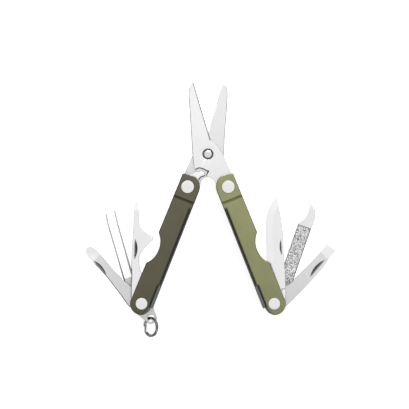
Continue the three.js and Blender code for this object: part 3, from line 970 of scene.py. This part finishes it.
def make_file():
    """The file: a blank with a shallow etched bed, and a pad of grit in it."""
    place = tool_place(RIGHT, "file_swing")
    low, high = heights("nail_file")
    blank = slab(outline_of("nail_file", place), low, high, tool_edge, tool_edge)
    left, right, start, end = FILE_BED
    floor = high - FILE_BED_DEPTH
    cut(blank, marked(bar(left, right, start, end, floor, high + 1, 0.03), WORKED))
    settle(blank, "file", place, "file", (FILE_STEEL, ETCHED_STEEL), "nail_file")
    across = (left + GRIT_MARGIN, right - GRIT_MARGIN)
    along = (start + GRIT_MARGIN, end - GRIT_MARGIN)
    grit = grit_pad(*across, *along, floor - 0.01, high - 0.03)
    settle(grit, "file_grit", place, "file", (FILE_GRIT,))


def grit_pad(x0, x1, y0, y1, bottom, top):
    """A pad of crushed grit: a closed grid whose grains stand at uneven heights."""
    dice = random.Random(GRIT_SEED)
    columns = round((x1 - x0) / GRIT_PITCH)
    rows = round((y1 - y0) / GRIT_PITCH)
    bm = bmesh.new()

    def vertex(i, j):
        inside = 0 < i < columns and 0 < j < rows
        shift = [dice.uniform(-0.3, 0.3) * GRIT_PITCH * inside for _ in range(2)]
        height = top + (dice.random() ** 2 - 0.4) * GRIT_RISE * inside
        x = x0 + (x1 - x0) * i / columns + shift[0]
        y = y0 + (y1 - y0) * j / rows + shift[1]
        return bm.verts.new((x, y, height))

    grid = [[vertex(i, j) for i in range(columns + 1)] for j in range(rows + 1)]
    for lower, upper in zip(grid, grid[1:]):
        for i in range(columns):
            a, b, c, d = lower[i], lower[i + 1], upper[i + 1], upper[i]
            corners = ((a, b, c), (a, c, d)) if dice.random() < 0.5 else ((a, b, d), (b, c, d))
            for triangle in corners:
                bm.faces.new(triangle)
    rim = grid[0] + [row[-1] for row in grid[1:-1]] + grid[-1][::-1] + [row[0] for row in grid[-2:0:-1]]
    base = [bm.verts.new((v.co.x, v.co.y, bottom)) for v in rim]
    band(bm, base, rim)
    bm.faces.new(base[::-1])
    return made(bm)


def make_wedge(side, name, node, edge, wedge_from, slope, nick, steel, tip_steel):
    """A flat tool whose end is ground to a wedge on both faces, with a nail nick."""
    place = tool_place(side, f"{name}_swing")
    low, high = heights(node)
    tool = slab(outline_of(node, place, upper=False), low, high, BLADE_EDGE, edge)
    cut(tool, tip_grind(wedge_from, high, slope), tip_grind(wedge_from, low, -slope))
    cut(tool, nail_nick(*nick, high))
    settle(tool, name, place, name, (steel, tip_steel, NICK_SHADE_STEEL), node)


def make_medium_driver():
    nick = ((2.9, 19.4), (2.1, 29.4), 1.3)
    make_wedge(RIGHT, "medium_driver", "medium_screwdriver", BLADE_EDGE, 30.5, 6.5,
               nick, DRIVER_STEEL, TIP_STEEL)


def outer_edge(point):
    """The small driver's edge that faces out of the closed handle is broken boldly."""
    return BOLD_EDGE if point.x > 0.4 and point.y < 27 else BLADE_EDGE


def make_small_driver():
    nick = ((1.9, 19.5), (0.75, 28.6), 1.3)
    make_wedge(LEFT, "small_driver", "small_screwdriver", outer_edge, 28.0, 5,
               nick, DRIVER_STEEL, TIP_STEEL)


def opener_edge(point):
    """The opener's back is broken boldly below its nail nick."""
    return BOLD_EDGE if point.x > 4.3 and point.y < 15 else BLADE_EDGE


def make_opener():
    nick = ((3.5, 19.5), (3.45, 28.5), 1.25)
    make_wedge(LEFT, "opener", "cap_opener", opener_edge, 41.0, 8,
               nick, BLADE_STEEL, OPENER_TIP_STEEL)


def make_tweezers():
    place = tool_place(LEFT, "tweezers_swing")
    low, high = heights("tweezers_plate")
    plate = slab(outline_of("tweezers_plate", place), low, high)
    settle(plate, "tweezers_root", place, "tweezers", (PLATE_STEEL,), "tweezers_plate")
    for which in ("outer", "inner"):
        node = f"tweezers_arm_{which}"
        low, high = heights(node)
        arm = slab(outline_of(node, place), low, high)
        cut(arm, tip_grind(ARM_TIP_FROM, high, ARM_TIP_SLOPE))
        settle(arm, f"tweezers_{which}", place, f"tweezers_{which}",
               (ARM_STEEL, ARM_STEEL), node)


def make_tab():
    place = tool_place(LEFT, "tab_swing")
    low, high = heights("lanyard_tab")
    tab = slab(outline_of("lanyard_tab", place), low, high, SPRUNG_EDGE, SPRUNG_EDGE)
    settle(tab, "lanyard_loop", place, "tab", (TAB_STEEL,), "lanyard_tab")


def make_key_ring():
    """A split ring: two turns of flat wire side by side, with the step where one turn passes to the
    other and a wire end on each side of it."""
    low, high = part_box("key_ring")
    tilt = Matrix.Rotation(math.radians(-RING_TILT), 4, "Y")
    place = Matrix.Translation((low + high) / 2) @ tilt @ Matrix.Scale(MM, 4)
    steps = 180
    step_half = math.radians(22)
    start = math.radians(200)
    section = []
    for k in range(12):
        angle = math.pi * (2 * k + 1) / 12
        across = math.copysign(abs(math.cos(angle)) ** 0.6, math.cos(angle))
        up = math.copysign(abs(math.sin(angle)) ** 0.6, math.sin(angle))
        section.append((RING_HALF_WIDTH * across, RING_HALF_THICKNESS * up))
    bm = bmesh.new()
    rings = []
    for i in range(steps + 1):
        turn = (4 * math.pi - 2 * step_half) * (i / steps - 0.5)
        share = max(-1.0, min(1.0, turn / step_half))
        level = RING_HALF_RISE * math.sin(share * math.pi / 2)
        out = Vector((math.cos(turn + start), math.sin(turn + start), 0))
        ring = [out * (RING_RADIUS + across) + Vector((0, 0, level + up)) for across, up in section]
        rings.append([bm.verts.new(point) for point in ring])
    for lower, upper in zip(rings, rings[1:]):
        band(bm, lower, upper)
    bm.faces.new(rings[0])
    bm.faces.new(rings[-1])
    settle(made(bm), "split_ring", place, "ring", (CHROME,), "key_ring")


# ---- Studio -------------------------------------------------------------------------------------


def make_stage():
    """A pale table under the tool."""
    half = 1.5
    bm = bmesh.new()
    bmesh.ops.create_grid(bm, x_segments=1, y_segments=1, size=half)
    mesh = bpy.data.meshes.new("table")
    bm.to_mesh(mesh)
    bm.free()
    table = bpy.data.objects.new("table", mesh)
    bpy.context.scene.collection.objects.link(table)
    paper = bpy.data.materials.new("table_paper")
    paper.use_nodes = True
    shader = paper.node_tree.nodes["Principled BSDF"]
    shader.inputs["Base Color"].default_value = (0.9, 0.9, 0.9, 1)
    shader.inputs["Roughness"].default_value = 0.9
    shader.inputs["Specular IOR Level"].default_value = 0.1
    shader.inputs["Emission Color"].default_value = (1, 1, 1, 1)
    shader.inputs["Emission Strength"].default_value = 0.62
    mesh.materials.append(paper)


def make_world():
    """A studio dome: bright overhead, and grey towards the horizon so that edges read dark."""
    world = bpy.data.worlds.new("studio")
    world.use_nodes = True
    bpy.context.scene.world = world
    nodes, links = world.node_tree.nodes, world.node_tree.links
    where = nodes.new("ShaderNodeTexCoord")
    split = nodes.new("ShaderNodeSeparateXYZ")
    ramp = nodes.new("ShaderNodeValToRGB")
    links.new(where.outputs["Generated"], split.inputs["Vector"])
    links.new(split.outputs["Z"], ramp.inputs["Fac"])
    links.new(ramp.outputs["Color"], nodes["Background"].inputs["Color"])
    ramp.color_ramp.elements[0].position = 0.45
    ramp.color_ramp.elements[0].color = (0.1, 0.1, 0.105, 1)
    ramp.color_ramp.elements[1].position = 0.88
    ramp.color_ramp.elements[1].color = (1, 1, 1, 1)
    nodes["Background"].inputs["Strength"].default_value = 1.0


def make_light(name, position, size, energy):
    """A square softbox that faces the tool."""
    data = bpy.data.lights.new(name, "AREA")
    data.size = size
    data.energy = energy
    light = bpy.data.objects.new(name, data)
    light.location = position
    light.rotation_euler = (-Vector(position)).to_track_quat("-Z", "Y").to_euler()
    bpy.context.scene.collection.objects.link(light)


def make_camera():
    """Straight down from far away, as wide as the view of the tool."""
    data = bpy.data.cameras.new("camera")
    data.sensor_width = 36
    data.lens = data.sensor_width * VIEW_DISTANCE / VIEW_WIDTH
    camera = bpy.data.objects.new("camera", data)
    top = cad_bounds[1][2]
    camera.location = (pivot.x + VIEW_OFFSET[0], pivot.y + VIEW_OFFSET[1], top + VIEW_DISTANCE)
    bpy.context.scene.collection.objects.link(camera)
    bpy.context.scene.camera = camera


make_camera()
make_scissors()
make_pivot()
make_spring()
make_handle(RIGHT, "right")
make_handle(LEFT, "left")
make_knife()
make_file()
make_medium_driver()
make_opener()
make_small_driver()
make_tweezers()
make_tab()
make_key_ring()
make_stage()
make_world()
make_light("key", (0.1, 0.45, 0.5), 0.25, 3.5)
bpy.context.scene.view_settings.view_transform = "Standard"
